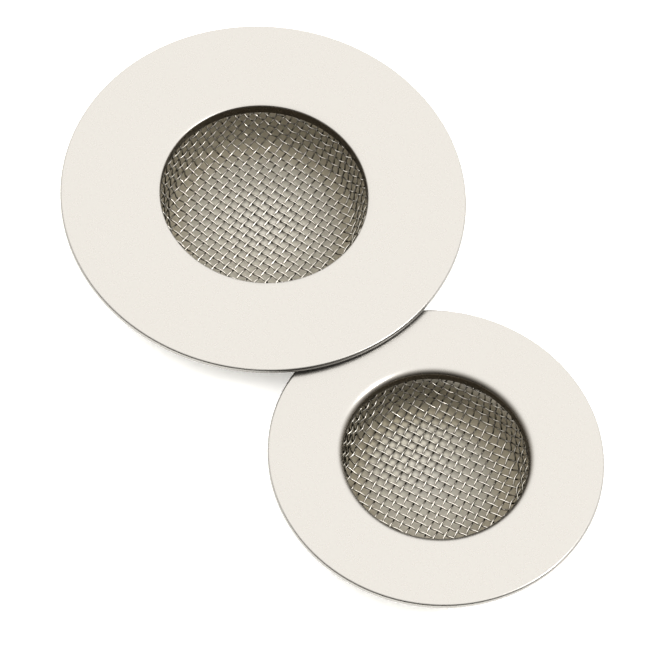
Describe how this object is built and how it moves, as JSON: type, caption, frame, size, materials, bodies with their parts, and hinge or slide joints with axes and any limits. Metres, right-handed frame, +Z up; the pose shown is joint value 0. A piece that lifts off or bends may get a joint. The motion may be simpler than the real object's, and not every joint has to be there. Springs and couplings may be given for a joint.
{
  "type": "mesh drain strainer set",
  "caption": "Flanged wire-mesh drain strainers, large and small, one rim lying over the other: each a flat sheet-metal ring that clamps a shallow drawn basket of woven wire.",
  "frame": {"origin": "on the table, below the middle of the set's length", "axes": "+Z up, +X from the large strainer's axis to the small one's"},
  "size_m": [0.1296, 0.076, 0.0129],
  "materials": {
    "top_ring": "satin",
    "backing_ring": "satin",
    "wire": "bright drawn"
  },
  "bodies": {
    "small_strainer": {"small_top_ring": "top_ring", "small_backing_ring": "backing_ring", "small_warp_wires": "wire", "small_weft_wires": "wire"},
    "large_strainer": {"large_top_ring": "top_ring", "large_backing_ring": "backing_ring", "large_warp_wires": "wire", "large_weft_wires": "wire"}
  },
  "joints": [
    {"name": "large_lift_off", "type": "slide", "parent": "small_strainer", "child": "large_strainer", "axis": [0, 0, 1], "range_m": [0, 0.06]}
  ]
}
